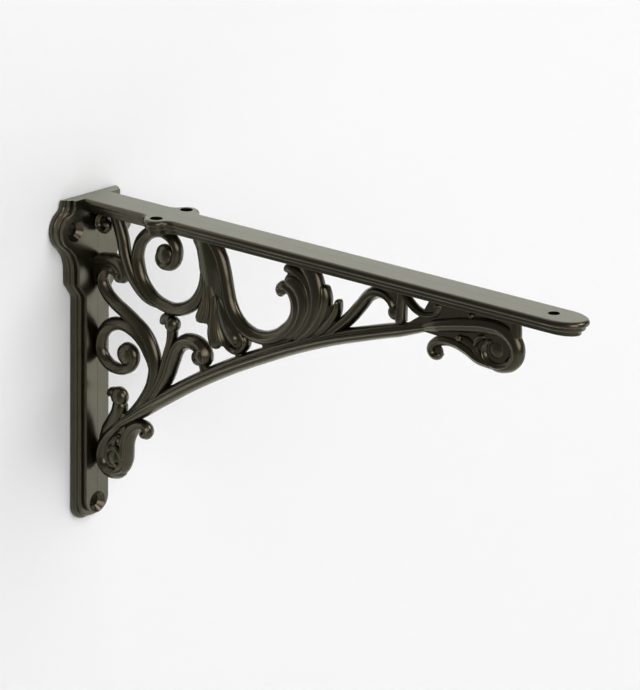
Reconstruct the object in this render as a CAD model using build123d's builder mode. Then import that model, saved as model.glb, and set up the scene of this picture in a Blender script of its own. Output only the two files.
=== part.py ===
from build123d import *
import os
from math import cos, radians, sin

# Cast-iron shelf bracket with an open scrollwork web, all one casting.
# Frame: the wall is the plane X = 0 and the origin lies on it, midway between the plate's two ear screws.
# The arm runs out along +X under the shelf, the wall plate hangs down, and Y = 0 is the parting plane.
# All sizes are millimetres.

# Arm, the bar under the shelf
arm_length = 250.0
arm_half_width = 8.3
arm_thickness = 6.1
arm_nose = 12.0            # length of the rounded end
arm_ear_out = 45.8         # screw ears, from the wall
arm_ear_side = 8.8         # hole centre, from the middle
arm_ear_radius = 5.2
arm_ear_flare = 4.0        # curve where an ear leaves the bar
arm_tip_hole_inset = 15.0  # end screw hole, from the tip

# Wall plate
plate_length = 137.8
plate_half_width = 9.6
plate_thickness = 5.8
plate_ear_drop = 12.4      # screw ears, below the shelf
plate_ear_side = 12.9
plate_ear_radius = 9.1
shoulder_half_width = 16.0
waist_half_width = 13.8    # broad part below the ears
waist_drop = 35.5          # its lower end, below the shelf
waist_slope = 6.0          # height over which it narrows to the straight plate
plate_ear_flare = 14.0     # long curve from an ear down to the waist
plate_curve = 3.5          # curve at each corner of the waist and above the ears
plate_foot_curve = 6.0
plate_foot_hole_inset = 7.4
top_back_round = 2.4       # rounded edge along the top of the plate, at the wall

# Moulded edge, the same round arm and plate: slab, then bead, then lip, each set back from the one before
slab = 2.5
bead = 1.7
bead_setback = 1.3
lip_setback = 2.9
slab_bevel = 1.0
bead_bevel = 0.7
ear_setback_share = 0.52   # the ears keep more metal round their screws than the straight edges do

# Screw holes
ear_hole = 5.2
tip_hole = 4.5
plate_hole = 4.8
sink_mouth = 8.4
sink_angle = 90.0

# Scrollwork web, in the corner between arm and plate
web_clear_of_tip = 28.0    # bare arm beyond the scrollwork
web_clear_of_foot = 19.2   # bare plate below it
scroll_rise = 3.0          # half thickness of a scroll at its crest
stem_rise = 2.8
brace_rise = 3.6
leaf_rise = 3.3
ground_rise = 1.7          # half thickness of the flat ground between leaves
edge_share = 0.3           # height of a scroll's edge, as a share of its crest
shoulder_out = 0.62        # where a scroll's face bends, as a share of its half width
shoulder_up = 0.8
ball_tilts = (-65, -25, 25, 65)  # rings of a round end, in degrees from its equator
ball_sides = 8
station_turn = 27.0        # degrees of bend between two stations of a scroll
station_run = 16.0         # longest run between two stations
shortest_run = 0.8
end_share = 0.45           # how far a scroll's free end narrows
drawn_reach = 216.2        # the routes below are drawn on a field of this reach and drop
drawn_drop = 112.8

shelf = plate_ear_drop     # height of the shelf's underside above the origin
reach_scale = (arm_length - plate_thickness - web_clear_of_tip) / drawn_reach
drop_scale = (plate_length - arm_thickness - web_clear_of_foot) / drawn_drop


def at(out, down):
    """A point of the web, given out from the plate's face and down from the arm's underside."""
    return (plate_thickness + out * reach_scale, 0, shelf - arm_thickness - down * drop_scale)


def section(path, t, half_width, rise):
    """The domed section of a scroll with its crest in the middle of each face, square to the path."""
    along = path % t
    quarter = [(half_width, edge_share * rise), (shoulder_out * half_width, shoulder_up * rise), (0, rise)]
    face = quarter + [(-x, y) for x, y in reversed(quarter[:-1])]
    back = [(x, -y) for x, y in reversed(face)]
    with BuildSketch(Plane(path @ t, x_dir=along.cross(Vector(0, 1, 0)), z_dir=along)) as outline:
        with BuildLine():
            Polyline(*face, *back, close=True)
        make_face()
    return outline.sketch.face()


def stations(path, end, samples=240):
    """Places along a path up to the start of its rounded end, closer together where it bends."""
    marks = [0.0]
    for i in range(1, samples):
        t = end * i / samples
        turned = (path % marks[-1]).get_angle(path % t)
        if turned > station_turn or (t - marks[-1]) * path.length > station_run:
            marks.append(t)
    if (end - marks[-1]) * path.length < shortest_run:
        marks.pop()
    return marks + [end]


def scroll(route, half_widths, rise=scroll_rise):
    """A band of scrollwork along a route, its half widths spread evenly over its length, its end rounded."""
    with BuildLine() as line:
        Spline(*[at(out, down) for out, down in route])
    path = line.edges()[0]
    spans = len(half_widths) - 1
    sections = []
    for t in stations(path, 1 - half_widths[-1] / path.length):
        span = min(int(t * spans), spans - 1)
        blend = t * spans - span
        half_width = half_widths[span] * (1 - blend) + half_widths[span + 1] * blend
        sections.append(section(path, t, half_width, rise))
    sections.append(section(path, 1, end_share * half_widths[-1], end_share * rise))
    with BuildPart() as band:
        loft(sections, ruled=True)
    return band.part


def bud(out, down, radius):
    """The round end of a tendril or the eye of a volute: rings of a ball, stacked across the web."""
    x, y, z = at(out, down)
    rings = []
    for tilt in ball_tilts:
        lift = radius * sin(radians(tilt))
        with BuildSketch(Plane((x, lift, z), x_dir=(1, 0, 0), z_dir=(0, 1, 0))) as ring:
            RegularPolygon(radius * cos(radians(tilt)), ball_sides)
        rings.append(ring.sketch.face())
    with BuildPart() as ball:
        loft(rings, ruled=True)
    return ball.part


def ground(*corners):
    """Flat metal that backs the leaves where the web isn't pierced."""
    with BuildPart() as sheet:
        with BuildSketch(Plane.XZ):
            with BuildLine():
                Polyline(*[(at(*corner)[0], at(*corner)[2]) for corner in corners], close=True)
            make_face()
        extrude(amount=ground_rise, both=True)
    return sheet.part


def arm_outline(setback):
    """The arm seen from above, drawn from inside the plate, with a tier's setback taken off."""
    root = plate_thickness / 2
    straight = arm_length - arm_nose
    half_width = arm_half_width - setback
    with BuildSketch() as outline:
        with Locations(((root + straight) / 2, 0)):
            Rectangle(straight - root, 2 * half_width)
        with Locations((arm_ear_out, arm_ear_side), (arm_ear_out, -arm_ear_side)):
            Circle(arm_ear_radius - ear_setback_share * setback)
        flares = outline.vertices().filter_by(lambda v: root < v.X < straight)
        fillet(flares, arm_ear_flare)
        with Locations((straight, 0)):
            Ellipse(arm_nose - setback, half_width)
    return outline.sketch


def plate_outline(setback):
    """The wall plate seen from the front, drawn from above the shelf, with a tier's setback taken off."""
    half_width = plate_half_width - setback
    waist = waist_half_width - setback
    shoulder = shoulder_half_width - setback
    above = 2 * slab
    curve_room = 0.1
    with BuildSketch() as outline:
        with Locations((0, (above - plate_length + setback) / 2)):
            Rectangle(2 * half_width, above + plate_length - setback)
        with Locations((0, (above - plate_ear_drop) / 2)):
            Rectangle(2 * shoulder, above + plate_ear_drop)
        with BuildLine():
            Polyline((-waist, -plate_ear_drop), (waist, -plate_ear_drop), (waist, -waist_drop),
                     (half_width, -waist_drop - waist_slope), (-half_width, -waist_drop - waist_slope),
                     (-waist, -waist_drop), close=True)
        make_face()
        with Locations((plate_ear_side, -plate_ear_drop), (-plate_ear_side, -plate_ear_drop)):
            Circle(plate_ear_radius - ear_setback_share * setback)
        fillet(outline.vertices().filter_by(lambda v: -waist_drop < v.Y < -plate_ear_drop), plate_ear_flare)
        fillet(outline.vertices().group_by(Axis.Y)[0], min(plate_foot_curve, 0.95 * half_width))
        corners = outline.vertices().filter_by(lambda v: -plate_ear_drop < v.Y < above)
        corners += outline.vertices().filter_by(
            lambda v: -waist_drop - waist_slope - curve_room < v.Y < -waist_drop + curve_room)
        fillet(corners, plate_curve)
    return outline.sketch


def moulding(outline, plane, thickness):
    """The three tiers of the moulded edge on a mounting face, each bevelled round its front."""
    heights = [slab, slab + bead, thickness]
    setbacks = [0, bead_setback, lip_setback]
    bevels = [slab_bevel, bead_bevel, None]
    tiers = []
    for height, setback, bevel in zip(heights, setbacks, bevels):
        shape = outline(setback)
        with BuildPart() as tier:
            with BuildSketch(plane):
                add(shape)
            extrude(amount=height)
            if bevel:
                chamfer(tier.faces().sort_by(Axis(plane.origin, plane.z_dir))[-1].edges(), bevel)
        tiers.append(tier.part)
    return tiers


arm_plane = Plane((0, 0, shelf), x_dir=(1, 0, 0), z_dir=(0, 0, -1))
plate_plane = Plane((0, 0, shelf), x_dir=(0, 1, 0), z_dir=(1, 0, 0))
arm_tiers = moulding(arm_outline, arm_plane, arm_thickness)
plate_tiers = moulding(plate_outline, plate_plane, plate_thickness)

with BuildPart() as arm:
    add(arm_tiers)

with BuildPart() as plate:
    add(plate_tiers)
    split(bisect_by=Plane.XY.offset(shelf), keep=Keep.BOTTOM)
    wall_edge = plate.faces().sort_by(Axis.Z)[-1].edges().filter_by(Axis.Y).sort_by(Axis.X)[0]
    fillet(wall_edge, top_back_round)


# The big ring: from its eye round the curl, over the top and down into the arm again
ring = scroll([(36.5, 10.4), (34.2, 12.1), (35.0, 14.9), (38.4, 15.6), (42.0, 13.8), (43.5, 10.0),
               (42.4, 5.7), (38.4, 2.8), (32.5, 2.4), (26.3, 5.7), (22.7, 11.7), (22.8, 18.8), (27.5, 27.5),
               (37.5, 32.5), (48.0, 31.1), (56.3, 23.4), (57.8, 14.2), (55.0, 5.9), (50.0, -0.8)],
              [1.8, 2.4, 2.8, 2.8, 2.8, 2.6, 2.6], scroll_rise)

# The lower spiral by the wall, and the S-shaped stem that it springs from
spiral = scroll([(14.4, 57.2), (15.3, 54.8), (17.9, 54.1), (20.7, 56.5), (20.0, 60.5), (16.3, 63.4),
                 (10.9, 64.5), (5.9, 63.0), (2.7, 59.2), (2.5, 54.2), (4.6, 49.5), (8.8, 46.3), (13.8, 45.2),
                 (19.4, 46.5), (24.6, 49.6), (28.4, 54.2), (30.9, 59.2), (31.4, 65.0)],
                [1.8, 2.4, 2.9, 2.9, 2.7, 2.4], scroll_rise * 0.97)
stem = scroll([(22.5, 78.4), (27.5, 73.0), (31.3, 65.0), (31.9, 57.5), (30.0, 51.3), (26.3, 46.3),
               (20.9, 42.7), (15.0, 39.5), (9.2, 36.5), (4.6, 33.0), (2.4, 28.8), (3.2, 25.0), (6.3, 23.9),
               (9.6, 24.8), (12.9, 25.8)],
              [2.4, 3.2, 3.2, 3.0, 2.8, 2.4], scroll_rise * 1.03)

# The straight-backed stem beside the ring, and the C-curve that carries the leaves
diagonal = scroll([(9.6, -1.6), (12.1, 4.2), (14.0, 9.2), (15.2, 14.2), (17.1, 19.2), (19.6, 23.8),
                   (23.4, 27.9), (28.4, 31.7), (34.2, 33.8)],
                  [2.2, 2.2, 2.2], stem_rise)
c_curve = scroll([(60.2, -1.6), (65.0, 5.0), (67.9, 11.7), (69.5, 18.4), (71.8, 25.0), (75.9, 30.2),
                  (81.7, 33.4), (87.5, 34.2), (94.2, 32.8), (100.0, 29.2), (103.8, 24.6), (105.0, 19.6),
                  (103.6, 15.0), (100.5, 12.5), (98.0, 12.8)],
                 [2.7, 2.8, 2.8, 2.8, 2.2], scroll_rise * 1.06)

# The brace from the wall to the tip, and the volute at each end of it
brace = scroll([(4.2, 96.7), (10.9, 90.0), (19.2, 83.8), (35.9, 72.1), (60.9, 56.3), (88.1, 42.1),
                (119.2, 28.5), (144.2, 20.0), (165.0, 13.6), (180.0, 8.9)],
               [2.6, 3.1, 3.3, 3.2, 2.6], brace_rise)
tip_volute = scroll([(165.0, 13.6), (180.0, 8.9), (188.4, 7.0), (196.7, 5.5), (203.4, 5.0), (208.8, 6.3),
                     (212.5, 9.4), (213.4, 13.4), (211.5, 17.0), (207.5, 19.2), (202.9, 19.4),
                     (199.2, 17.4), (197.9, 13.8), (200.0, 10.6), (203.8, 10.3)],
                    [3.0, 3.0, 2.8, 2.6, 1.8], scroll_rise * 1.1)
foot_volute = scroll([(19.2, 83.8), (10.9, 90.0), (5.5, 95.5), (2.5, 100.9), (2.5, 105.5), (5.0, 108.9),
                      (9.2, 109.8), (13.4, 108.2), (15.7, 104.6), (15.0, 100.9), (11.7, 98.6), (8.0, 100.0),
                      (7.0, 103.4)],
                     [3.0, 2.8, 2.8, 2.6, 1.8], scroll_rise * 1.1)

# Tendrils, buds and the short stems that carry them
foot_leaf = scroll([(15.0, 105.0), (15.7, 100.0), (16.3, 95.0), (18.4, 90.5), (22.1, 87.5), (25.9, 87.5)],
                   [2.4, 2.8, 2.6], stem_rise)
wall_bud = scroll([(0.9, 95.0), (4.2, 91.7), (8.0, 87.1), (10.9, 82.1), (12.1, 77.5)],
                  [2.4, 2.4, 2.8], stem_rise)
wall_bud_hook = scroll([(11.6, 75.8), (8.4, 75.4), (7.0, 77.8)], [2.6, 1.8, 1.0], stem_rise * 0.9)
bud_stem = scroll([(29.2, 72.5), (33.4, 66.7), (36.7, 59.2), (38.8, 52.5), (40.9, 45.9), (41.0, 36.0)],
                  [2.0, 2.0, 2.6], stem_rise)
bud_hook = scroll([(40.8, 37.4), (38.0, 37.2), (36.5, 38.8), (36.4, 40.6)], [2.2, 1.8, 1.1], stem_rise * 0.9)
cane = scroll([(31.7, 73.4), (35.9, 67.5), (39.6, 60.9), (42.1, 54.2), (44.4, 48.8), (48.0, 45.3),
               (52.5, 44.5), (56.7, 45.9), (58.4, 49.2)],
              [2.2, 2.6, 3.0, 3.2], scroll_rise)
tendril = scroll([(119.2, 28.4), (126.7, 22.1), (133.4, 15.9), (138.4, 10.0), (142.9, 5.0), (147.9, 3.2),
                  (152.9, 4.9), (155.9, 8.8)],
                 [2.0, 2.6, 2.8, 2.4], stem_rise)
post = scroll([(158.8, -1.6), (157.9, 5.0), (157.5, 14.2)], [2.2, 2.2], stem_rise * 0.95)
vee = scroll([(157.5, -0.8), (162.5, 4.5), (167.5, 7.0), (172.5, 6.5), (176.7, 3.0)],
             [1.6, 1.6, 1.4], stem_rise * 0.9)
tip_leaf = scroll([(174.6, 20.0), (175.4, 17.1), (179.2, 15.3), (184.2, 15.2), (190.0, 16.7), (195.9, 19.2),
                   (201.7, 20.0)],
                  [2.2, 2.2, 2.2, 1.8], stem_rise)
corner_curl = scroll([(10.4, 0.5), (6.0, 1.0), (2.6, 3.6), (3.2, 7.2)], [1.8, 2.2, 2.4], stem_rise * 0.92)
hook_link = scroll([(-0.8, 21.0), (5.0, 19.3), (13.0, 20.0)], [2.0, 2.2, 2.0], stem_rise * 0.9)

# Leaf lobes: a broad trunk and three tips hanging from the arm, and four rising from the brace
lobes = [
    scroll([(55.6, -1.6), (59.4, 6.0), (61.6, 14.0), (61.8, 22.0), (60.6, 29.0)],
           [3.6, 5.2, 5.0, 3.4], leaf_rise * 0.9),
    scroll([(60.4, 14.0), (60.2, 22.0), (58.2, 29.0), (55.2, 35.6)], [2.0, 2.6, 3.0, 2.5], leaf_rise),
    scroll([(62.6, 16.0), (63.4, 25.0), (63.6, 34.0), (65.2, 45.2)], [2.2, 3.0, 3.6, 3.1], leaf_rise),
    scroll([(64.4, 16.0), (67.0, 25.0), (70.0, 33.6), (76.8, 43.2)], [2.0, 3.2, 4.4, 3.6], leaf_rise),
    scroll([(101.4, 32.1), (106.4, 28.0), (110.9, 22.4), (113.2, 16.8), (113.4, 11.6), (111.4, 7.4),
            (107.6, 4.6), (103.6, 3.4), (99.8, 4.4)],
           [2.0, 2.8, 3.4, 3.0, 1.6], leaf_rise),
    scroll([(106.6, 30.6), (112.4, 24.4), (115.2, 17.5), (114.6, 9.6), (111.4, 0.9)],
           [1.8, 2.6, 3.0, 2.8], leaf_rise * 0.86),
    scroll([(109.2, 31.3), (115.9, 24.2), (119.8, 17.1), (120.8, 10.9), (119.9, 6.2)],
           [1.8, 2.5, 2.9, 2.7, 1.5], leaf_rise),
    scroll([(115.0, 29.2), (121.0, 23.6), (124.9, 18.4), (126.8, 14.0), (126.8, 10.6)],
           [1.6, 2.1, 2.2, 1.9, 1.0], leaf_rise),
]

# Flat ground behind the leaves, beside the wall hook, wall bud and post, and inside the closed volutes
grounds = [
    ground((52.5, -1.6), (64.2, -1.6), (67.5, 9.2), (69.2, 19.2), (71.7, 27.5), (75.9, 34.2), (72.5, 42.0),
           (66.0, 42.0), (60.0, 33.4), (57.5, 25.9), (58.4, 17.5), (56.7, 7.5)),
    ground((102.5, 4.2), (111.8, -1.6), (115.2, 7.5), (123.4, 14.2), (127.5, 20.9), (117.5, 27.5),
           (104.0, 34.5), (90.0, 39.0), (89.8, 35.5), (96.0, 33.0), (104.2, 25.9), (105.6, 19.2),
           (104.0, 13.0), (100.0, 10.9)),
    ground((160.0, 13.4), (168.4, 7.5), (173.4, -1.6), (212.5, -1.6), (214.2, 6.7), (214.2, 14.2),
           (207.5, 20.0), (197.5, 20.0), (181.7, 14.2)),
    ground((2.5, 98.4), (10.9, 90.0), (16.7, 87.5), (18.4, 94.2), (17.5, 105.0), (10.9, 110.0),
           (4.2, 108.4)),
    ground((9.0, 86.0), (12.5, 80.2), (14.6, 80.2), (20.5, 80.5), (15.0, 87.0)),
    ground((-0.8, 19.2), (14.2, 17.5), (15.9, 24.2), (5.9, 24.2), (-0.8, 30.9)),
    ground((149.0, -1.6), (159.5, -1.6), (159.5, 12.5), (156.5, 9.5), (155.0, 5.5), (152.5, 2.5),
           (149.0, 1.5)),
]

# Eyes of the volutes and heads of the tendrils
buds = [
    bud(12.9, 25.4, 3.0), bud(3.2, 6.1, 3.2), bud(26.3, 87.8, 3.6), bud(11.8, 76.4, 3.8),
    bud(41.2, 39.4, 3.4), bud(57.5, 48.8, 4.2), bud(36.7, 12.1, 3.4), bud(17.2, 57.6, 3.4),
    bud(204.6, 13.6, 4.2), bud(174.5, 20.7, 3.6), bud(10.0, 104.5, 4.2), bud(98.4, 12.1, 3.0),
    bud(155.4, 9.6, 3.2),
]

web = [
    ring, spiral, stem, diagonal, c_curve, brace, tip_volute, foot_volute, foot_leaf, wall_bud,
    wall_bud_hook, bud_stem, bud_hook, cane, tendril, post, vee, tip_leaf, corner_curl, hook_link,
    *lobes, *grounds, *buds,
]

with BuildPart() as bracket:
    add([arm.part, plate.part] + web)
    with Locations((arm_ear_out, arm_ear_side, shelf), (arm_ear_out, -arm_ear_side, shelf)):
        Hole(ear_hole / 2, depth=arm_thickness)
    with Locations((arm_length - arm_tip_hole_inset, 0, shelf)):
        Hole(tip_hole / 2, depth=arm_thickness)
    face = Plane((plate_thickness, 0, shelf), x_dir=(0, 1, 0), z_dir=(1, 0, 0))
    plate_spots = [(plate_ear_side, -plate_ear_drop), (-plate_ear_side, -plate_ear_drop),
                   (0, -plate_length + plate_foot_hole_inset)]
    with Locations(*[face * Location((y, z, 0)) for y, z in plate_spots]):
        CounterSinkHole(plate_hole / 2, sink_mouth / 2, counter_sink_angle=sink_angle)

os.makedirs("parts", exist_ok=True)
bracket.part.label = "bracket"
export_step(bracket.part, "parts/bracket.step")
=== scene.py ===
import bpy, bmesh, math
from mathutils import Matrix, Vector


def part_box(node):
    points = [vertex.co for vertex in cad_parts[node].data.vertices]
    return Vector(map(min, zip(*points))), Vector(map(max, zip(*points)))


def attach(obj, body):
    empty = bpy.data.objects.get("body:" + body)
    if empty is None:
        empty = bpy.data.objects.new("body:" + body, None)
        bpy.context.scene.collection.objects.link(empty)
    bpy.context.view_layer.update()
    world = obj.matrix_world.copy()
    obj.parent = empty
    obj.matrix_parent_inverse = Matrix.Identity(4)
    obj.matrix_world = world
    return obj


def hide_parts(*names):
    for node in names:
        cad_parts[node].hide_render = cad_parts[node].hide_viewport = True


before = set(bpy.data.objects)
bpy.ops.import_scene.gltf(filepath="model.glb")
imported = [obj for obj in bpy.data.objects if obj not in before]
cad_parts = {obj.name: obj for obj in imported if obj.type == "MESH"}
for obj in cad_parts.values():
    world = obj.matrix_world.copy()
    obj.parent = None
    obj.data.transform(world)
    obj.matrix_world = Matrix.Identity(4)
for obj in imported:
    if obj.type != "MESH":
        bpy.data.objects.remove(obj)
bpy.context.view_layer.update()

mm = 0.001
low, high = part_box("bracket")
shelf = high.z / mm   # height of the arm's flat top, where the shelf rests
armLength = high.x / mm
plateFoot = low.z / mm
print("frame loaded: arm", round(armLength), "mm, plate", round(shelf - plateFoot), "mm")


def linear(code):
    channels = [int(code[i:i + 2], 16) / 255 for i in (1, 3, 5)]
    return tuple(c / 12.92 if c <= 0.04045 else ((c + 0.055) / 1.055) ** 2.4 for c in channels) + (1.0,)


def addNode(tree, kind, settings=None, links=None):
    node = tree.nodes.new(kind)
    for name, value in (settings or {}).items():
        if isinstance(name, str) and hasattr(node, name):
            setattr(node, name, value)
        else:
            node.inputs[name].default_value = value
    for name, source in (links or {}).items():
        tree.links.new(source, node.inputs[name])
    return node


# Oil-rubbed bronze on cast iron: a dark lacquered metal skin, semi-gloss, that looks pale where it is seen at a
# low angle. Its crests and beads are painted paler, partly as rubbed wear and partly as a painted highlight. It is
# browner round its edges, and a fine dark line shows where the two halves of the mould met. Colours are sRGB; sizes of
# patches, grain and line are in mm
bronze = {
    "body": "#423E28", "low": "#372F1C", "rubAndHighlight": "#79755F", "edge": "#49351F", "seam": "#16120C", "film": "#E6E9CA",
    "metallic": 1.0, "roughness": 0.3, "coat": 1.0, "coatRoughness": 0.25,
    "mottle": 9.0, "mottleFrom": 0.35, "mottleTo": 0.75, "mottleShare": 0.6,
    "edgeFrom": 0.98, "edgeTo": 0.72, "edgeShare": 0.5, "seamWidth": 0.14, "seamFade": 0.1,
    "grain": 0.5, "grainStrength": 0.12, "grainHeight": 0.05}


def bronzeFinish(v):
    material = bpy.data.materials.new("oilRubbedBronzeOnIron")
    material.use_nodes = True
    tree = material.node_tree
    shader = tree.nodes["Principled BSDF"]
    place = addNode(tree, "ShaderNodeTexCoord").outputs["Object"]
    mottle = addNode(tree, "ShaderNodeTexNoise", {"Scale": 1 / (v["mottle"] * mm), "Detail": 3.0}, {"Vector": place})
    patch = addNode(tree, "ShaderNodeMapRange", {"From Min": v["mottleFrom"], "From Max": v["mottleTo"],
                                                 "To Max": v["mottleShare"]}, {"Value": mottle.outputs["Fac"]})
    body = addNode(tree, "ShaderNodeMix", {"data_type": "RGBA", 6: linear(v["body"]), 7: linear(v["low"])},
                   {0: patch.outputs[0]})
    # painted highlight: crests and beads are mixed toward the pale rub colour, partly for rubbed wear and partly
    # standing in for their reflection
    wearAndHighlight = addNode(tree, "ShaderNodeAttribute", {"attribute_name": "wearAndHighlight"})
    rubbedAndHighlighted = addNode(tree, "ShaderNodeMix", {"data_type": "RGBA", 7: linear(v["rubAndHighlight"])},
                     {0: wearAndHighlight.outputs["Fac"], 6: body.outputs[2]})
    # the lacquer is thin and brown round the edges, where a face turns from one side to the next
    facing = addNode(tree, "ShaderNodeVectorMath", {"operation": "ABSOLUTE"},
                     {0: addNode(tree, "ShaderNodeTexCoord").outputs["Normal"]})
    sides = addNode(tree, "ShaderNodeSeparateXYZ", {}, {0: facing.outputs[0]})
    most = addNode(tree, "ShaderNodeMath", {"operation": "MAXIMUM"}, {0: sides.outputs["X"], 1: sides.outputs["Y"]})
    most = addNode(tree, "ShaderNodeMath", {"operation": "MAXIMUM"}, {0: most.outputs[0], 1: sides.outputs["Z"]})
    turned = addNode(tree, "ShaderNodeMapRange", {"From Min": v["edgeFrom"], "From Max": v["edgeTo"],
                                                  "To Max": v["edgeShare"]}, {"Value": most.outputs[0]})
    browned = addNode(tree, "ShaderNodeMix", {"data_type": "RGBA", 7: linear(v["edge"])},
                      {0: turned.outputs[0], 6: rubbedAndHighlighted.outputs[2]})
    across = addNode(tree, "ShaderNodeSeparateXYZ", {}, {0: place})   # the mould's halves met along the middle
    away = addNode(tree, "ShaderNodeMath", {"operation": "ABSOLUTE"}, {0: across.outputs["Y"]})
    seam = addNode(tree, "ShaderNodeMapRange", {"From Min": v["seamWidth"] * mm,
                                                "From Max": (v["seamWidth"] + v["seamFade"]) * mm,
                                                "To Min": 1.0, "To Max": 0.0}, {"Value": away.outputs[0]})
    seamed = addNode(tree, "ShaderNodeMix", {"data_type": "RGBA", 7: linear(v["seam"])},
                     {0: seam.outputs[0], 6: browned.outputs[2]})
    tree.links.new(seamed.outputs[2], shader.inputs["Base Color"])
    grain = addNode(tree, "ShaderNodeTexNoise", {"Scale": 1 / (v["grain"] * mm), "Detail": 2.0}, {"Vector": place})
    bump = addNode(tree, "ShaderNodeBump", {"Strength": v["grainStrength"], "Distance": v["grainHeight"] * mm},
                   {"Height": grain.outputs["Fac"]})
    tree.links.new(bump.outputs["Normal"], shader.inputs["Normal"])
    shader.inputs["Metallic"].default_value = v["metallic"]
    shader.inputs["Roughness"].default_value = v["roughness"]
    shader.inputs["Coat Weight"].default_value = v["coat"]
    shader.inputs["Coat Tint"].default_value = linear(v["film"])
    shader.inputs["Coat Roughness"].default_value = v["coatRoughness"]
    return material


# The web, in mm: the field its routes are drawn on, and what it leaves clear of the arm's tip and the plate's
# foot. A band has railSteps between two points of its route, a ring of its section every station, and an end that
# closes at endTurns, in degrees round its nose. Above crestFrom, a share of its rise, it is rubbed and has a painted
# highlight
web = {
    "reach": 216.2, "drop": 112.8, "clearOfTip": 28.0, "clearOfFoot": 19.2,
    "railSteps": 14, "station": 0.9, "fewestRings": 6, "endTurns": (18, 36, 52, 66, 78, 86),
    "braceRise": 3.6, "crestFrom": 0.93, "ballSides": 28, "ballRings": 18, "beadWearAndHighlight": 0.8, "headWearAndHighlight": 0.1}

# A quarter of each band's section, from its crest out to its side, as shares of half width and rise
forms = {
    "domed": [(0, 1), (0.05, 0.96), (0.13, 0.91), (0.3, 0.855), (0.5, 0.75), (0.68, 0.61), (0.83, 0.43), (0.94, 0.23)],
    "round": [(0, 1), (0.2, 0.98), (0.38, 0.925), (0.56, 0.83), (0.71, 0.7), (0.84, 0.54), (0.93, 0.36), (0.985, 0.17)],
    "ribbed": [(0, 1), (0.11, 0.985), (0.18, 0.9), (0.24, 0.8), (0.32, 0.77), (0.5, 0.76), (0.73, 0.59), (0.92, 0.28)],
    "fluted": [(0, 0.84), (0.2, 0.86), (0.34, 0.94), (0.42, 1), (0.5, 0.92), (0.64, 0.76), (0.82, 0.5), (0.94, 0.25)]}

crestWearAndHighlight = {"domed": 1.0, "round": 0.0, "ribbed": 0.5, "fluted": 1.0}   # how far each form's crests are rubbed and painted paler as a highlight


def webPoint(out, down):
    reach = armLength - plate["thickness"] - web["clearOfTip"]
    drop = shelf - plateFoot - arm["thickness"] - web["clearOfFoot"]
    x = plate["thickness"] + out * reach / web["reach"]
    z = shelf - arm["thickness"] - down * drop / web["drop"]
    return Vector((x, 0, z)) * mm


def smoothRail(route):
    curve = bpy.data.curves.new("rail", "CURVE")
    curve.dimensions = "3D"
    curve.resolution_u = web["railSteps"]
    spline = curve.splines.new("BEZIER")
    spline.bezier_points.add(len(route) - 1)
    for knot, spot in zip(spline.bezier_points, route):
        knot.co = webPoint(*spot)
    for knot in spline.bezier_points:
        knot.handle_left_type = knot.handle_right_type = "AUTO"
    rail = bpy.data.objects.new("rail", curve)
    line = bpy.data.meshes.new_from_object(rail)
    points = [v.co.copy() for v in line.vertices]
    bpy.data.objects.remove(rail)
    bpy.data.curves.remove(curve)
    bpy.data.meshes.remove(line)
    return points


def sectionLoop(form):
    quarter = forms[form]
    right = quarter + [(1, 0)] + [(x, -y) for x, y in reversed(quarter)]
    return right + [(-x, y) for x, y in reversed(right[1:-1])]


def joinInto(target, part):
    bmesh.ops.recalc_face_normals(part, faces=part.faces)
    mesh = bpy.data.meshes.new("join")
    part.to_mesh(mesh)
    target.from_mesh(mesh)
    bpy.data.meshes.remove(mesh)
    part.free()


def spread(values, t):   # the value at share t of a band, from a list spread evenly along it
    if not isinstance(values, list):
        return values
    k = min(int(t * (len(values) - 1)), len(values) - 2)
    return values[k] + (values[k + 1] - values[k]) * (t * (len(values) - 1) - k)


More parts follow.
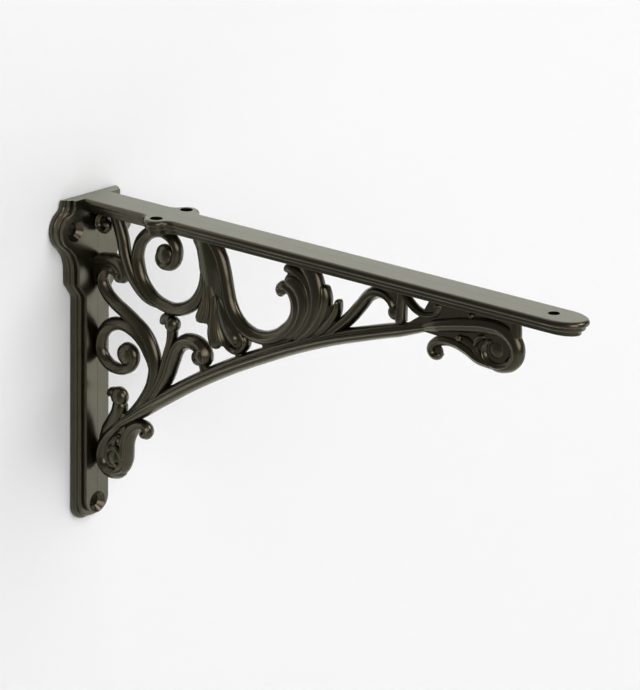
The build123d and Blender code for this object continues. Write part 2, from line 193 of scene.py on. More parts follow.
def addScroll(target, route, halfWidths, rises, form):
    points = smoothRail(route)
    marks = [0.0]
    for a, b in zip(points, points[1:]):
        marks.append(marks[-1] + (b - a).length)
    length = marks[-1]
    endRun = halfWidths[-1] * mm
    count = max(web["fewestRings"], round((length - endRun) / (web["station"] * mm)))
    places = [(length - endRun) * i / count for i in range(count + 1)]
    places += [length - endRun * (1 - math.sin(math.radians(a))) for a in web["endTurns"]]
    loop = sectionLoop(form)
    scroll = bmesh.new()
    wearAndHighlight = scroll.verts.layers.float.new("wearAndHighlight")
    ring = bmesh.ops.create_circle(scroll, cap_ends=False, radius=mm, segments=len(loop))["verts"]
    edges = list(scroll.edges)
    j = 0
    for i, place in enumerate(places):
        if i:   # each new ring's vertices are put in the order of the ring that they grew from
            old = dict((v, n) for n, v in enumerate(ring))
            made = bmesh.ops.extrude_edge_only(scroll, edges=edges)["geom"]
            edges = [g for g in made if isinstance(g, bmesh.types.BMEdge)]
            edges = [e for e in edges if e.is_boundary]
            fresh = [g for g in made if isinstance(g, bmesh.types.BMVert)]
            ring = [None] * len(loop)
            for v in fresh:
                for e in v.link_edges:
                    mate = e.other_vert(v)
                    if mate in old:
                        ring[old[mate]] = v
        while j < len(marks) - 2 and marks[j + 1] < place:
            j += 1
        share = (place - marks[j]) / (marks[j + 1] - marks[j])
        centre = points[j].lerp(points[j + 1], share)
        before, after = points[max(j - 1, 0)], points[min(j + 2, len(points) - 1)]
        coming, going = (points[j + 1] - before).normalized(), (after - points[j]).normalized()
        along = coming.lerp(going, share).normalized()
        across = along.cross(Vector((0, 1, 0)))
        halfWidth, rise = spread(halfWidths, place / length), spread(rises, place / length)
        left = (length - place) / endRun
        shrink = math.sqrt(max(0.0, 1 - (1 - left) ** 2)) if left < 1 else 1.0
        for v, (x, y) in zip(ring, loop):
            v.co = centre + (across * (x * halfWidth * shrink) + Vector((0, y * rise * shrink, 0))) * mm
            # crests are painted paler: rubbed wear and a painted highlight
            v[wearAndHighlight] = crestWearAndHighlight[form] * max(0.0, abs(y) - web["crestFrom"]) / (1 - web["crestFrom"])
    bmesh.ops.holes_fill(scroll, edges=[e for e in scroll.edges if e.is_boundary])
    joinInto(target, scroll)


def addBud(target, out, down, radius, rise, lift=0):
    for side in ((-1, 1) if lift else (0,)):   # a bead stands on both faces, a head goes right through
        ball = bmesh.new()
        wearAndHighlight = ball.verts.layers.float.new("wearAndHighlight")
        bmesh.ops.create_uvsphere(ball, u_segments=web["ballSides"], v_segments=web["ballRings"], radius=mm)
        bmesh.ops.rotate(ball, verts=ball.verts, cent=(0, 0, 0), matrix=Matrix.Rotation(math.pi / 2, 3, "X"))
        bmesh.ops.scale(ball, verts=ball.verts, vec=(radius, rise, radius))
        for v in ball.verts:
            # beads are painted pale as a highlight and as wear, heads only a little
            v[wearAndHighlight] = web["beadWearAndHighlight"] if lift else web["headWearAndHighlight"]
        bmesh.ops.translate(ball, verts=ball.verts, vec=webPoint(out, down) + Vector((0, side * lift * mm, 0)))
        joinInto(target, ball)


def addGround(target, rise, corners):
    sheet = bmesh.new()
    sheet.verts.layers.float.new("wearAndHighlight")
    lift = Vector((0, rise * mm, 0))
    face = sheet.faces.new([sheet.verts.new(webPoint(*c) - lift) for c in corners])
    made = bmesh.ops.extrude_face_region(sheet, geom=[face])["geom"]
    bmesh.ops.translate(sheet, verts=[g for g in made if isinstance(g, bmesh.types.BMVert)], vec=lift * 2)
    joinInto(target, sheet)


# Each scroll: its route over the web as (out, down), its half widths and its rise spread evenly along it, and
# its form
scrolls = {
    "ring": ([(36.5, 10.4), (34.2, 12.1), (35.0, 14.9), (38.4, 15.6), (42.0, 13.8), (43.5, 10.0), (42.4, 5.7),
        (38.4, 2.8), (32.5, 2.4), (26.3, 5.7), (22.7, 11.7), (22.8, 18.8), (27.5, 27.5), (37.5, 32.5),
        (48.0, 31.1), (56.3, 23.4), (58.6, 14.2), (56.6, 5.9), (52.6, -0.8)],
        [1.8, 2.4, 2.8, 2.8, 2.8, 2.8, 2.2], [2.6, 3.0, 3.0, 3.0, 3.0, 2.9, 1.6], "domed"),
    "spiral": ([(14.4, 57.2), (15.3, 54.8), (17.9, 54.1), (20.7, 56.5), (20.0, 60.5), (16.3, 63.4), (10.9, 64.5),
        (5.9, 63.0), (2.7, 59.2), (2.5, 54.2), (4.6, 49.5), (8.8, 46.3), (13.8, 45.2), (19.4, 46.5), (24.6, 49.6),
        (28.4, 54.2), (30.9, 59.2), (31.4, 65.0)],
        [1.8, 2.4, 2.9, 2.9, 2.7, 2.4], [2.4, 2.9, 2.9, 2.9, 2.8, 2.4], "domed"),
    "stem": ([(15.6, 84.4), (22.5, 78.6), (27.5, 73.0), (31.3, 65.0), (31.9, 57.5), (30.0, 51.3), (26.3, 46.3),
        (20.9, 42.7), (15.0, 39.5), (9.2, 36.5), (4.9, 32.8), (3.0, 28.6), (4.3, 25.0), (7.3, 23.3), (10.2, 24.0),
        (11.4, 26.6)],
        [1.0, 3.0, 3.3, 3.2, 3.0, 2.8, 2.0], [1.6, 2.8, 3.1, 3.1, 3.1, 3.0, 2.6], "domed"),
    "hookLeaf": ([(3.0, 19.8), (7.6, 18.9), (12.0, 19.8), (14.8, 22.4), (15.4, 25.4), (13.4, 26.8)],
        [1.6, 2.3, 2.8, 2.9, 2.4, 1.3], 2.7, "round"),
    "diagonal": ([(9.6, -1.6), (12.1, 4.2), (14.0, 9.2), (15.2, 14.2), (17.1, 19.2), (19.6, 23.8), (23.4, 27.9),
        (28.4, 31.7), (34.8, 33.4)],
        [2.9, 2.9, 2.8, 2.6, 1.0], [2.6, 2.6, 2.6, 2.6, 1.8], "round"),
    "cCurve": ([(61.0, -1.6), (65.8, 5.0), (68.4, 11.7), (70.0, 18.4), (72.1, 25.0), (76.0, 30.3), (81.5, 33.5),
        (87.5, 34.4), (94.6, 33.0), (100.8, 29.0), (104.9, 24.2), (106.3, 19.2), (105.4, 14.6), (102.2, 11.4),
        (98.8, 11.2), (97.4, 13.2), (99.4, 14.4)],
        [3.0, 3.1, 3.1, 3.0, 3.3, 3.2, 1.9], [3.3, 3.2, 3.2, 3.2, 3.2, 3.1, 2.4], "domed"),
    "brace": ([(7.4, 93.4), (10.9, 90.0), (19.2, 83.8), (35.9, 72.1), (60.9, 56.3), (88.1, 42.1), (119.2, 28.5),
        (144.2, 20.0), (165.0, 13.6), (180.0, 8.9)],
        [1.4, 3.1, 3.2, 3.3, 3.3, 3.2, 3.1, 2.9, 1.2], [3.0] + [web["braceRise"]] * 6 + [3.0, 2.0], "ribbed"),
    "tipVolute": ([(165.0, 13.6), (177.0, 9.8), (190.0, 6.7), (200.2, 5.1), (207.2, 5.5), (211.7, 8.5), (213.4, 12.6),
        (212.0, 16.7), (208.0, 19.4), (203.2, 19.8), (199.6, 17.8), (198.4, 14.4), (199.8, 11.4), (202.8, 10.2)],
        [1.2, 3.0, 3.4, 3.8, 3.6, 2.6, 2.0, 1.4], [1.6, 3.3, 3.3, 3.3, 3.3, 3.1, 2.8, 2.4], "domed"),
    "tipShoulder": ([(211.0, -1.6), (212.0, 3.6), (212.6, 9.0)], [2.8, 2.6, 2.2], 2.1, "round"),
    "tipFold": ([(187.0, 12.4), (190.0, 12.0), (193.0, 14.0), (196.8, 17.6), (201.0, 20.0)],
        [1.0, 1.5, 1.9, 1.8, 1.3], [2.6, 2.9, 3.0, 2.9, 2.6], "domed"),
    "tipFan": ([(194.6, 13.8), (195.9, 11.0), (199.0, 9.4)], [1.2, 1.9, 1.4], [2.2, 2.6, 2.4], "fluted"),
    "tipLeaf": ([(201.7, 20.0), (195.9, 19.2), (190.0, 16.7), (184.2, 15.2), (179.2, 15.3), (175.2, 16.9),
        (172.9, 19.6), (173.7, 22.0), (176.2, 22.4), (177.5, 20.6)],
        [1.8, 2.2, 2.3, 2.2, 2.2, 1.9, 1.1], [2.6, 2.8, 2.8, 2.8, 2.7, 2.5, 2.0], "domed"),
    "footVolute": ([(19.2, 83.8), (10.9, 90.0), (5.9, 95.5), (3.3, 100.9), (3.3, 105.5), (5.8, 108.7), (9.6, 109.5),
        (13.4, 108.2), (15.6, 105.6)],
        [1.2, 2.8, 2.9, 2.9, 2.9, 2.6], [1.6, 3.3, 3.3, 3.3, 3.2, 2.6], "domed"),
    "footLeaf": ([(10.6, 108.8), (14.4, 106.8), (16.4, 103.2), (16.9, 99.2), (17.0, 95.4), (18.6, 90.8),
        (21.8, 87.2), (25.4, 85.5), (28.3, 86.7), (28.2, 89.0), (26.0, 89.6), (25.2, 88.2)],
        [1.6, 2.7, 3.1, 3.3, 3.3, 3.0, 2.5, 2.0, 1.2], [2.4, 3.1, 3.2, 3.1, 3.0, 2.9, 2.8, 2.4, 1.8], "fluted"),
    "footFold": ([(16.8, 103.0), (14.8, 99.9), (11.9, 97.8), (9.2, 97.8), (7.6, 99.6)],
        [0.9, 1.2, 1.3, 1.2, 0.8], [2.9, 3.1, 3.1, 2.9, 2.3], "domed"),
    "footCurl": ([(10.8, 97.4), (11.8, 94.2), (14.0, 92.6), (16.0, 93.6)],
        [1.3, 1.5, 1.4, 0.9], [2.9, 3.1, 3.0, 2.5], "domed"),
    "wallBud": ([(3.0, 96.2), (6.0, 91.8), (9.8, 87.0), (12.6, 82.0), (13.2, 77.0)],
        [1.2, 2.8, 3.4, 3.5, 3.6], [1.6, 2.6, 2.8, 3.0, 3.2], "round"),
    "wallBudHook": ([(11.6, 75.4), (8.6, 75.0), (6.9, 77.2)], [2.6, 1.9, 1.1], [3.0, 2.4, 1.6], "round"),
    "budStem": ([(29.2, 72.5), (33.4, 66.7), (36.7, 59.2), (38.8, 52.5), (40.9, 45.9), (41.0, 36.0)],
        [2.0, 2.0, 2.1, 2.8], [2.6, 2.7, 2.8, 2.8], "domed"),
    "budHook": ([(40.8, 37.2), (38.0, 37.0), (36.4, 38.8), (36.4, 40.6)], [2.2, 1.9, 1.1], [2.8, 2.4, 1.6], "round"),
    "cane": ([(31.7, 73.4), (35.9, 67.5), (39.6, 60.9), (42.1, 54.2), (44.4, 48.8), (48.0, 45.3), (52.5, 44.3),
        (56.6, 45.6), (58.6, 48.6), (58.2, 52.6)],
        [2.2, 2.6, 2.9, 3.1, 3.8, 4.0], [2.8, 3.0, 3.0, 3.0, 3.4, 3.6], "fluted"),
    "caneHook": ([(58.0, 51.2), (54.8, 51.6), (53.6, 49.4), (54.2, 47.6)],
        [2.0, 1.5, 1.2, 0.8], [2.8, 2.6, 2.4, 2.0], "round"),
    "caneNeck": ([(58.0, 50.4), (58.6, 53.6), (59.4, 57.0)], [2.8, 2.0, 2.4], 2.4, "round"),
    "tendril": ([(119.2, 28.4), (126.7, 22.1), (133.4, 15.9), (138.4, 10.0), (142.9, 5.0), (147.9, 3.2),
        (152.9, 4.9), (155.2, 8.6)],
        [2.0, 2.7, 2.8, 2.6, 1.9], [2.5, 2.8, 2.8, 2.8, 2.6], "fluted"),
    "post": ([(158.8, -1.6), (157.9, 5.0), (157.5, 14.2)], [2.4, 2.4], 2.4, "round"),
    "vee": ([(157.5, -0.8), (162.5, 4.5), (167.5, 7.0), (172.5, 6.7), (176.4, 4.6), (176.8, 1.9), (174.6, 1.5)],
        [1.7, 1.7, 1.7, 1.5, 1.1], [2.4, 2.5, 2.5, 2.4, 2.0], "domed"),
    "cornerCurl": ([(10.4, 0.8), (6.4, 0.2), (2.6, 1.4), (1.1, 4.8), (2.8, 7.4), (5.8, 7.3), (6.8, 5.0), (5.0, 3.8),
        (3.9, 4.9)],
        [1.7, 1.9, 1.9, 1.6, 1.3, 0.8], [2.6, 2.6, 2.6, 2.5, 2.4, 2.0], "domed"),
    "hookLink": ([(-0.8, 21.0), (5.0, 19.3), (9.0, 19.4), (13.0, 20.0)], [2.0, 2.4, 2.3, 2.0], 2.5, "round"),
    "trunk": ([(57.2, -1.6), (60.2, 6.0), (61.6, 13.0), (62.0, 20.0), (61.4, 27.0), (60.8, 32.0)],
        [4.9, 5.6, 6.0, 5.2, 3.6, 2.0], [2.9, 3.3, 3.2, 2.7, 2.0, 1.4], "round"),
    "hangingLobeA": ([(60.0, 16.0), (59.9, 22.5), (58.4, 28.8), (55.4, 35.2)],
        [0.8, 1.9, 2.7, 2.6], [2.8, 3.1, 3.2, 2.8], "domed"),
    "hangingLobeB": ([(61.8, 18.5), (61.7, 25.0), (60.8, 30.4), (58.6, 35.0)],
        [0.8, 1.6, 2.0, 1.5], [2.8, 3.1, 3.0, 2.4], "domed"),
    "hangingLobeC": ([(63.4, 17.5), (64.1, 25.0), (63.8, 32.0), (63.6, 38.6), (65.0, 44.4)],
        [0.8, 1.9, 2.5, 3.3, 3.1], [2.9, 3.2, 3.3, 3.3, 2.8], "domed"),
    "hangingLobeD": ([(65.4, 22.0), (66.2, 29.6), (66.4, 35.0), (67.0, 41.0)],
        [0.8, 1.6, 2.0, 1.5], [2.8, 3.1, 3.0, 2.4], "domed"),
    "bowl": ([(67.2, 23.0), (69.6, 29.6), (72.8, 35.0), (76.6, 39.4), (78.6, 41.4)],
        [1.4, 3.4, 4.9, 4.6, 3.0], [2.6, 2.9, 2.9, 2.6, 1.8], "round"),
    "bowlRim": ([(66.9, 26.0), (67.3, 33.0), (68.6, 37.8), (71.2, 41.2), (75.0, 42.8), (78.6, 41.4), (80.6, 38.4),
        (80.0, 34.8)],
        [0.9, 1.2, 1.5, 1.7, 1.7, 1.6, 1.2], [2.6, 3.0, 3.2, 3.3, 3.2, 3.0, 2.4], "domed"),
    "bowlNeck": ([(76.4, 41.6), (77.6, 47.2)], [1.7, 2.2], 2.0, "round"),
    "bowlFold": ([(70.6, 30.2), (74.0, 34.6), (76.6, 37.6), (75.8, 40.4)],
        [0.9, 1.3, 1.3, 0.8], [2.9, 3.3, 3.2, 2.6], "domed"),
    "shell": ([(100.9, 31.2), (106.2, 26.8), (109.4, 21.4), (110.2, 15.6), (108.0, 10.6), (104.2, 8.4), (100.2, 9.4)],
        [1.6, 2.4, 3.0, 3.5, 3.9, 3.8, 2.7], [2.6, 3.0, 3.2, 3.3, 3.3, 3.2, 2.6], "round"),
    "risingLobeA": ([(103.2, 31.6), (107.4, 27.8), (111.5, 22.3), (113.9, 16.8), (113.6, 11.0), (111.2, 6.6),
        (107.4, 3.8), (103.4, 2.8), (99.8, 4.2)],
        [1.8, 2.5, 3.0, 3.0, 2.8, 2.6, 1.8], [2.8, 3.2, 3.4, 3.5, 3.5, 3.4, 2.6], "domed"),
    "risingLobeB": ([(106.6, 30.6), (112.4, 25.0), (115.9, 18.6), (116.6, 12.4), (115.2, 6.4), (112.0, 1.4),
        (107.6, -1.6)],
        [1.8, 2.6, 3.2, 3.5, 3.8, 4.2, 3.6], [2.4, 2.9, 3.2, 3.3, 3.2, 3.0, 2.8], "round"),
    "risingLobeC": ([(108.8, 31.0), (113.4, 26.6), (117.8, 20.8), (120.2, 15.0), (120.8, 10.2), (119.8, 6.0)],
        [1.9, 2.6, 3.1, 3.0, 2.6, 1.5], [2.8, 3.1, 3.3, 3.3, 3.2, 2.6], "domed"),
    "risingLobeD": ([(114.6, 29.2), (119.4, 24.6), (123.6, 19.8), (126.4, 14.8), (126.9, 10.4)],
        [1.7, 2.5, 2.7, 2.2, 1.1], [2.7, 3.0, 3.1, 3.0, 2.4], "domed"),
}

# Flat grounds behind the leaves and in the volutes: how far each stands out from the middle, and its corners
grounds = [
    (1.7, [(52.5, -1.6), (64.2, -1.6), (67.5, 9.2), (69.2, 19.2), (71.7, 27.5), (75.9, 34.2), (72.5, 42.0),
        (66.0, 42.0), (60.0, 33.4), (57.5, 25.9), (58.4, 17.5), (56.7, 7.5)]),
    (1.7, [(102.5, 4.2), (111.8, -1.6), (115.2, 7.5), (123.4, 14.2), (127.5, 20.9), (117.5, 27.5), (104.0, 34.5),
        (90.0, 39.0), (89.8, 35.5), (96.0, 33.0), (104.2, 25.9), (105.6, 19.2), (104.0, 13.0), (100.0, 10.9)]),
    (1.3, [(160.0, 13.4), (168.4, 7.5), (173.4, -1.6), (210.5, -1.6), (211.0, 6.7), (210.6, 14.2), (207.0, 18.4),
        (197.5, 19.6), (181.7, 14.2)]),
    (1.3, [(2.5, 98.4), (10.9, 90.0), (16.7, 87.5), (18.0, 94.2), (17.3, 105.0), (10.9, 109.6), (4.2, 108.4)]),
    (1.7, [(9.0, 86.0), (13.0, 82.4), (18.0, 82.6), (15.0, 87.0)]),
    (1.7, [(-0.8, 19.2), (14.2, 17.5), (15.9, 24.2), (5.9, 24.2), (-0.8, 30.9)]),
    (1.7, [(149.0, -1.6), (159.5, -1.6), (159.5, 12.5), (156.5, 9.5), (155.0, 5.5), (152.5, 2.5), (149.0, 1.5)]),
]

# Heads and eyes: out, down, radius and rise. A bead also has its height above the middle
buds = [
    (37.2, 11.4, 4.7, 2.9), (38.7, 13.4, 0.8, 0.5, 2.5), (16.2, 57.6, 4.6, 2.7), (17.0, 58.2, 0.8, 0.5, 2.5),
    (3.9, 4.6, 2.6, 1.6), (12.6, 76.2, 4.2, 3.2), (41.2, 39.2, 3.5, 3.2), (57.8, 48.6, 4.2, 3.6),
    (98.6, 12.8, 2.0, 2.2), (155.2, 9.4, 3.2, 3.2), (175.0, 2.6, 1.8, 1.5), (176.0, 20.2, 2.4, 0.9),
    (204.4, 13.4, 3.9, 2.3), (192.2, 2.6, 1.7, 2.6), (187.0, 12.4, 1.3, 1.0, 1.9), (10.0, 103.2, 3.9, 2.5),
    (26.4, 87.6, 2.4, 0.9), (14.2, 94.2, 1.0, 0.8, 2.4), (12.3, 105.6, 1.0, 0.8, 2.0), (12.4, 25.6, 2.6, 2.5)]


# The arm and the wall plate, in mm, with the same stepped edge. A side is measured from the middle, a drop from
# the arm's top, and out from the wall. earShare is how much of an edge's setback an ear's radius takes
arm = {
    "halfWidth": 8.3, "thickness": 6.1, "nose": 12.0, "earOut": 45.8, "earSide": 8.8, "earRadius": 5.2,
    "earFlare": 4.0, "tipHoleInset": 15.0, "earHole": 5.2, "tipHole": 4.5}
plate = {
    "halfWidth": 9.6, "thickness": 5.8, "earDrop": 12.4, "earSide": 12.9, "earRadius": 9.1, "shoulder": 16.0,
    "waist": 13.8, "waistDrop": 35.5, "waistSlope": 6.0, "earFlare": 14.0, "curve": 3.5, "footCurve": 6.0,
    "footHoleInset": 7.4, "hole": 4.8, "sinkMouth": 8.4, "backRound": 2.4}
edge = {
    "slab": 2.5, "bead": 1.7, "beadSetback": 1.3, "lipSetback": 2.9, "slabRound": 1.0, "beadRound": 0.75,
    "lipRound": 0.4, "topRound": 1.4, "wallRound": 1.5, "earShare": 0.52, "roundSteps": 4, "backSteps": 6,
    "flareSteps": 7, "waistSteps": 12, "earSteps": 22, "noseSteps": 16, "cornerSteps": 6, "footSteps": 12,
    "footShare": 0.95}


def arcPoints(centre, radius, start, end, steps):
    turn = [math.radians(start + (end - start) * i / steps) for i in range(steps + 1)]
    rx, ry = radius if isinstance(radius, tuple) else (radius, radius)
    return [(centre[0] + rx * math.cos(a), centre[1] + ry * math.sin(a)) for a in turn]


def armSide(setback):
    halfWidth = arm["halfWidth"] - setback
    ear = arm["earRadius"] - edge["earShare"] * setback
    flare = arm["earFlare"]
    reach = math.sqrt((ear + flare) ** 2 - (halfWidth + flare - arm["earSide"]) ** 2)
    lean = math.degrees(math.atan2(halfWidth + flare - arm["earSide"], reach))
    straight = armLength - arm["nose"]
    side = [(plate["thickness"] / 2, halfWidth)]
    side += arcPoints((arm["earOut"] - reach, halfWidth + flare), flare, -90, -lean, edge["flareSteps"])
    side += arcPoints((arm["earOut"], arm["earSide"]), ear, 180 - lean, lean, edge["earSteps"])[1:-1]
    side += arcPoints((arm["earOut"] + reach, halfWidth + flare), flare, 180 + lean, 270, edge["flareSteps"])
    side += arcPoints((straight, 0), (arm["nose"] - setback, halfWidth), 90, 0, edge["noseSteps"])
    return side


def roundedCorner(before, corner, after, radius, steps):
    a = (Vector(before) - Vector(corner)).normalized()
    b = (Vector(after) - Vector(corner)).normalized()
    half = a.angle(b) / 2
    centre = Vector(corner) + (a + b).normalized() * (radius / math.sin(half))
    start = Vector(corner) + a * (radius / math.tan(half)) - centre
    finish = Vector(corner) + b * (radius / math.tan(half)) - centre
    return [tuple(centre + start.slerp(finish, i / steps).normalized() * radius) for i in range(steps + 1)]


def plateSide(setback):
    curve = plate["curve"]
    ear = plate["earRadius"] - edge["earShare"] * setback
    shoulder, waist, halfWidth = (plate[k] - setback for k in ("shoulder", "waist", "halfWidth"))
    flare = plate["earFlare"]
    up = shoulder + curve - plate["earSide"]
    down = waist + flare - plate["earSide"]
    rise = math.sqrt((ear + curve) ** 2 - up ** 2)
    fall = math.sqrt((ear + flare) ** 2 - down ** 2)
    topTurn, lowTurn = math.degrees(math.atan2(rise, up)), math.degrees(math.atan2(fall, down))
    centre = (plate["earSide"], -plate["earDrop"])
    foot = plateFoot - shelf + setback
    waistEnd = -plate["waistDrop"] - plate["waistSlope"]
    side = [(0, 2 * edge["slab"]), (shoulder, 2 * edge["slab"])]
    side += arcPoints((shoulder + curve, centre[1] + rise), curve, 180, 180 + topTurn, edge["flareSteps"])
    side += arcPoints(centre, ear, topTurn, -lowTurn, edge["earSteps"])[1:-1]
    side += arcPoints((waist + flare, centre[1] - fall), flare, 180 - lowTurn, 180, edge["waistSteps"])
    aboveWaist, waistCorner = (waist, centre[1] - fall), (waist, -plate["waistDrop"])
    shankTop, shank = (halfWidth, waistEnd), (halfWidth, (waistEnd + foot) / 2)
    side += roundedCorner(aboveWaist, waistCorner, shankTop, curve, edge["cornerSteps"])
    side += roundedCorner(waistCorner, shankTop, shank, curve, edge["cornerSteps"])
    footCurve = min(plate["footCurve"], edge["footShare"] * halfWidth)
    side += roundedCorner(shank, (halfWidth, foot), (0, foot), footCurve, edge["footSteps"])
    return side + [(0, foot)]


near = 1e-4   # mm, closer than which two points are the same


# One step of the moulding: an outline raised from one level to the next, with the rim at each level rounded
def addTier(target, side, levels, rounds, place, top=None):
    tier = bmesh.new()
    tier.verts.layers.float.new("wearAndHighlight")
    outline = side + [(x, -y) for x, y in reversed(side[1:-1])]
    if side[0][1] > near:   # the side starts off the middle, so its first point has a mate across it
        outline.append((side[0][0], -side[0][1]))
    face = tier.faces.new([tier.verts.new((x, y, levels[0])) for x, y in outline])
    made = bmesh.ops.extrude_face_region(tier, geom=[face])["geom"]
    far = [g for g in made if isinstance(g, bmesh.types.BMVert)]
    bmesh.ops.translate(tier, verts=far, vec=(0, 0, levels[1] - levels[0]))
    for level, size in zip(levels, rounds):
        if size:
            rim = [e for e in tier.edges if all(abs(v.co.z - level) < near for v in e.verts)]
            bmesh.ops.bevel(tier, geom=rim, offset=size, affect="EDGES", segments=edge["roundSteps"], profile=0.5,
                            material=-1)
    if top is not None:   # the plate is cut off flush with the arm's top, and its back edge there is rounded
        bmesh.ops.bisect_plane(tier, geom=tier.verts[:] + tier.edges[:] + tier.faces[:], dist=near / 10,
                               plane_co=(0, 0, 0), plane_no=(1, 0, 0), clear_outer=True)
        bmesh.ops.holes_fill(tier, edges=[e for e in tier.edges if e.is_boundary])
        if top:
            rim = [e for e in tier.edges if all(abs(v.co.x) < near and abs(v.co.z) < near for v in e.verts)]
            bmesh.ops.bevel(tier, geom=rim, offset=top, affect="EDGES", segments=edge["backSteps"], profile=0.5,
                            material=-1)
    bmesh.ops.transform(tier, matrix=place, verts=tier.verts)
    joinInto(target, tier)


# Drills for the screw holes, in mm: a countersink's cone starts inside the hole and ends past the plate's face
bit = {"sides": 48, "inside": 0.1, "past": 1.0}


def addDrill(target, matrix, bore, depth, mouth=None):
    radius = bore / 2
    drill = bmesh.new()
    bmesh.ops.create_cone(drill, cap_ends=True, segments=bit["sides"], radius1=radius, radius2=radius,
                          depth=4 * depth)
    if mouth:
        start = depth - (mouth / 2 - radius) - bit["inside"]
        tall = depth + bit["past"] - start
        cone = bmesh.new()
        bmesh.ops.create_cone(cone, cap_ends=True, segments=bit["sides"], radius1=radius - bit["inside"],
                              radius2=mouth / 2 + bit["past"], depth=tall)
        bmesh.ops.translate(cone, verts=cone.verts, vec=(0, 0, start + tall / 2))
        joinInto(drill, cone)
    bmesh.ops.transform(drill, matrix=matrix, verts=drill.verts)
    joinInto(target, drill)


def meshObject(name, bm):
    mesh = bpy.data.meshes.new(name)
    bm.to_mesh(mesh)
    bm.free()
    made = bpy.data.objects.new(name, mesh)
    bpy.context.scene.collection.objects.link(made)
    return made


small = Matrix.Scale(mm, 4)   # arm and plate are drawn in mm, each from its flat face, and then put in place
armPlace = Matrix.Translation((0, 0, high.z)) @ Matrix.Scale(-1, 4, (0, 0, 1)) @ small
plateTurn = Matrix(((0, 0, 1, 0), (0, 1, 0, 0), (1, 0, 0, 0), (0, 0, 0, 1)))   # stands it up on the wall
platePlace = Matrix.Translation((0, 0, high.z)) @ plateTurn @ small


def buildMoulding():
    steps = bmesh.new()
    steps.verts.layers.float.new("wearAndHighlight")
    ends = [edge["slab"], edge["slab"] + edge["bead"], arm["thickness"]]
    setbacks = [0, edge["beadSetback"], edge["lipSetback"]]
    rounds = [edge["slabRound"], edge["beadRound"], edge["lipRound"]]
    for i in range(3):   # the slab, the bead and the lip, each set back from the one before
        start = 0 if i == 0 else edge["slab"] / 2
        addTier(steps, armSide(setbacks[i]), (start, ends[i]), (0 if i else edge["topRound"], rounds[i]), armPlace)
        plateHalf = [(z, y) for y, z in plateSide(setbacks[i])]
        addTier(steps, plateHalf, (start, ends[i]), (0, rounds[i] if i else edge["wallRound"]), platePlace,
                0 if i else plate["backRound"])
    moulding = meshObject("moulding", steps)
    drills = bmesh.new()
    for x, y, bore in ((arm["earOut"], arm["earSide"], arm["earHole"]),
                       (arm["earOut"], -arm["earSide"], arm["earHole"]),
                       (armLength - arm["tipHoleInset"], 0, arm["tipHole"])):
        addDrill(drills, armPlace @ Matrix.Translation((x, y, 0)), bore, arm["thickness"])
    foot = plateFoot - shelf + plate["footHoleInset"]
    for y, z in ((plate["earSide"], -plate["earDrop"]), (-plate["earSide"], -plate["earDrop"]), (0, foot)):
        addDrill(drills, platePlace @ Matrix.Translation((z, y, 0)), plate["hole"], plate["thickness"],
                 plate["sinkMouth"])
    tool = meshObject("drills", drills)
    cut = moulding.modifiers.new("cut", "BOOLEAN")
    cut.operation = "DIFFERENCE"
    cut.solver = "EXACT"
    cut.use_self = True
    cut.object = tool
    bpy.context.view_layer.update()
    result = bpy.data.meshes.new_from_object(moulding.evaluated_get(bpy.context.evaluated_depsgraph_get()))
    for used in (moulding, tool):
        bpy.data.objects.remove(used)
    return result


moulded = buildMoulding()
print("arm and plate:", len(moulded.polygons), "faces")

creaseAngle = 40   # degrees: a turn sharper than this is shaded as a crease
casting = bmesh.new()
casting.verts.layers.float.new("wearAndHighlight")
for route, halfWidths, rise, form in scrolls.values():
    addScroll(casting, route, halfWidths, rise, form)
for rise, corners in grounds:
    addGround(casting, rise, corners)
for bud in buds:
    addBud(casting, *bud)
print("web:", len(casting.faces), "faces")
casting.from_mesh(moulded)
bracket = meshObject("bracketCasting", casting)
bracket.data.shade_smooth()
bracket.data.set_sharp_from_angle(angle=math.radians(creaseAngle))
weighted = bracket.modifiers.new("weighted", "WEIGHTED_NORMAL")
weighted.keep_sharp = True
bracket.data.materials.append(bronzeFinish(bronze))
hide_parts("bracket")
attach(bracket, "root")
print("casting:", sum(len(p.vertices) - 2 for p in bracket.data.polygons), "triangles")

# The studio, in metres: a pale wall that the plate is on, a pale floor well below, and soft light. Both are in
# matt emulsion paint, which gives an even surface with almost no shine
studio = {
    "wall": "#F6F6F6", "floor": "#F4F4F4", "paintRoughness": 0.9, "paintShine": 0.1,
    "wallGap": 0.0004, "wallLeft": -0.07, "wallRight": 4.0, "wallHalfHeight": 3.0, "drop": 0.9, "floorSize": 8.0,
    "room": "#F7F7F7", "roomStrength": 0.2}
lamps = {
    "keyLamp": {"at": (2.7, 0.8, 2.3), "aim": (0.1, 0, -0.03), "size": 2.0, "watts": 60},
    "sideLamp": {"at": (1.7, 2.0, -0.5), "aim": (0.05, 0, -0.05), "size": 2.1, "watts": 15},
    "fillLamp": {"at": (3.0, -1.8, 1.2), "aim": (0.1, 0, -0.03), "size": 2.4, "watts": 42}}


def paleFinish(name, code, oneSided=False):
    material = bpy.data.materials.new(name)
    material.use_nodes = True
    tree = material.node_tree
    shader = tree.nodes["Principled BSDF"]
    shader.inputs["Base Color"].default_value = linear(code)
    shader.inputs["Roughness"].default_value = studio["paintRoughness"]
    shader.inputs["Specular IOR Level"].default_value = studio["paintShine"]
    if oneSided:   # seen only from the room, so the back of the plate can be looked at
        clear = addNode(tree, "ShaderNodeBsdfTransparent")
        side = addNode(tree, "ShaderNodeNewGeometry")
        mixed = addNode(tree, "ShaderNodeMixShader", {}, {0: side.outputs["Backfacing"], 1: shader.outputs[0],
                                                          2: clear.outputs[0]})
        tree.links.new(mixed.outputs[0], tree.nodes["Material Output"].inputs["Surface"])
    return material


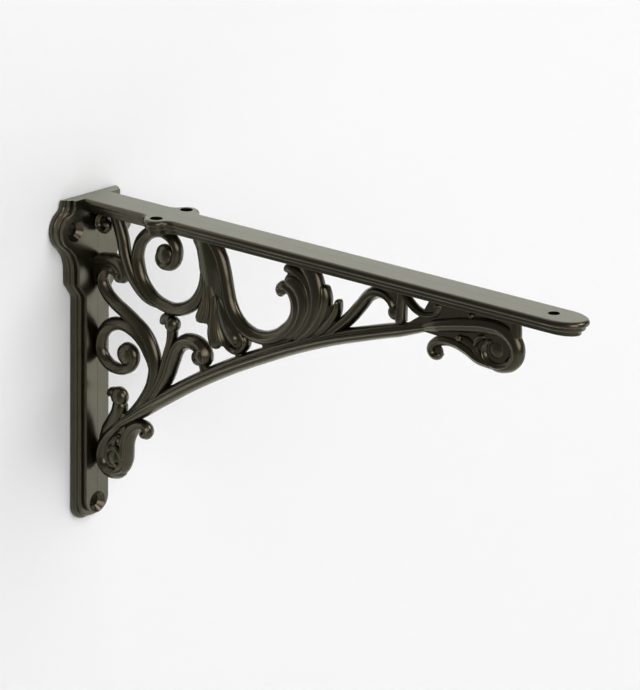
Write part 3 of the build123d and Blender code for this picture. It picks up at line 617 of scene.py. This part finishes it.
def addPanel(name, place, material):
    panel = bmesh.new()
    bmesh.ops.create_grid(panel, x_segments=1, y_segments=1, size=1)
    bmesh.ops.transform(panel, matrix=place, verts=panel.verts)
    made = meshObject(name, panel)
    made.data.materials.append(material)


wallHalf = (studio["wallRight"] - studio["wallLeft"]) / 2
upright = Matrix.Diagonal((1, wallHalf, studio["wallHalfHeight"], 1)) @ Matrix.Rotation(math.pi / 2, 4, "Y")
addPanel("wall", Matrix.Translation((-studio["wallGap"], studio["wallLeft"] + wallHalf, 0)) @ upright,
         paleFinish("paintedWall", studio["wall"], True))
addPanel("floor", Matrix.Translation((0, 0, low.z - studio["drop"])) @ Matrix.Scale(studio["floorSize"] / 2, 4),
         paleFinish("paintedFloor", studio["floor"]))

world = bpy.data.worlds.new("softRoom")
bpy.context.scene.world = world
world.use_nodes = True
world.node_tree.nodes["Background"].inputs["Color"].default_value = linear(studio["room"])
world.node_tree.nodes["Background"].inputs["Strength"].default_value = studio["roomStrength"]

for name, v in lamps.items():
    light = bpy.data.lights.new(name, "AREA")
    light.shape = "DISK"
    light.size = v["size"]
    light.energy = v["watts"]
    lamp = bpy.data.objects.new(name, light)
    lamp.location = v["at"]
    lamp.rotation_mode = "QUATERNION"
    lamp.rotation_quaternion = (Vector(v["at"]) - Vector(v["aim"])).to_track_quat("Z", "Y")
    bpy.context.scene.collection.objects.link(lamp)

# The camera stands out from the wall, to the left of the arm and a little above it. Its angles are in degrees,
# and the rest in mm: how far it stands from the arm's top at the wall, and its lens
lens = {"around": 40.06, "above": 17.72, "roll": 1.18, "aside": -93.44, "up": 61.34, "away": 1605.15,
        "focalLength": 208.7, "sensor": 36, "farEnd": 20000}


def addCamera(v):
    a, e, r = (math.radians(v[k]) for k in ("around", "above", "roll"))
    back = Vector((math.sin(a) * math.cos(e), -math.cos(a) * math.cos(e), math.sin(e)))
    right = Vector((math.cos(a), math.sin(a), 0))
    up = back.cross(right)
    side = right * math.cos(r) + up * math.sin(r)
    top = up * math.cos(r) - right * math.sin(r)
    optics = bpy.data.cameras.new("camera")
    optics.lens = v["focalLength"]
    optics.sensor_width = v["sensor"]
    optics.clip_end = v["farEnd"] * mm
    camera = bpy.data.objects.new("camera", optics)
    place = (back * v["away"] - side * v["aside"] - top * v["up"]) * mm + Vector((0, 0, high.z))
    camera.matrix_world = Matrix.Translation(place) @ Matrix((side, top, back)).transposed().to_4x4()
    bpy.context.scene.collection.objects.link(camera)
    bpy.context.scene.camera = camera


addCamera(lens)
bpy.context.scene.view_settings.view_transform = "Standard"
print("studio ready")
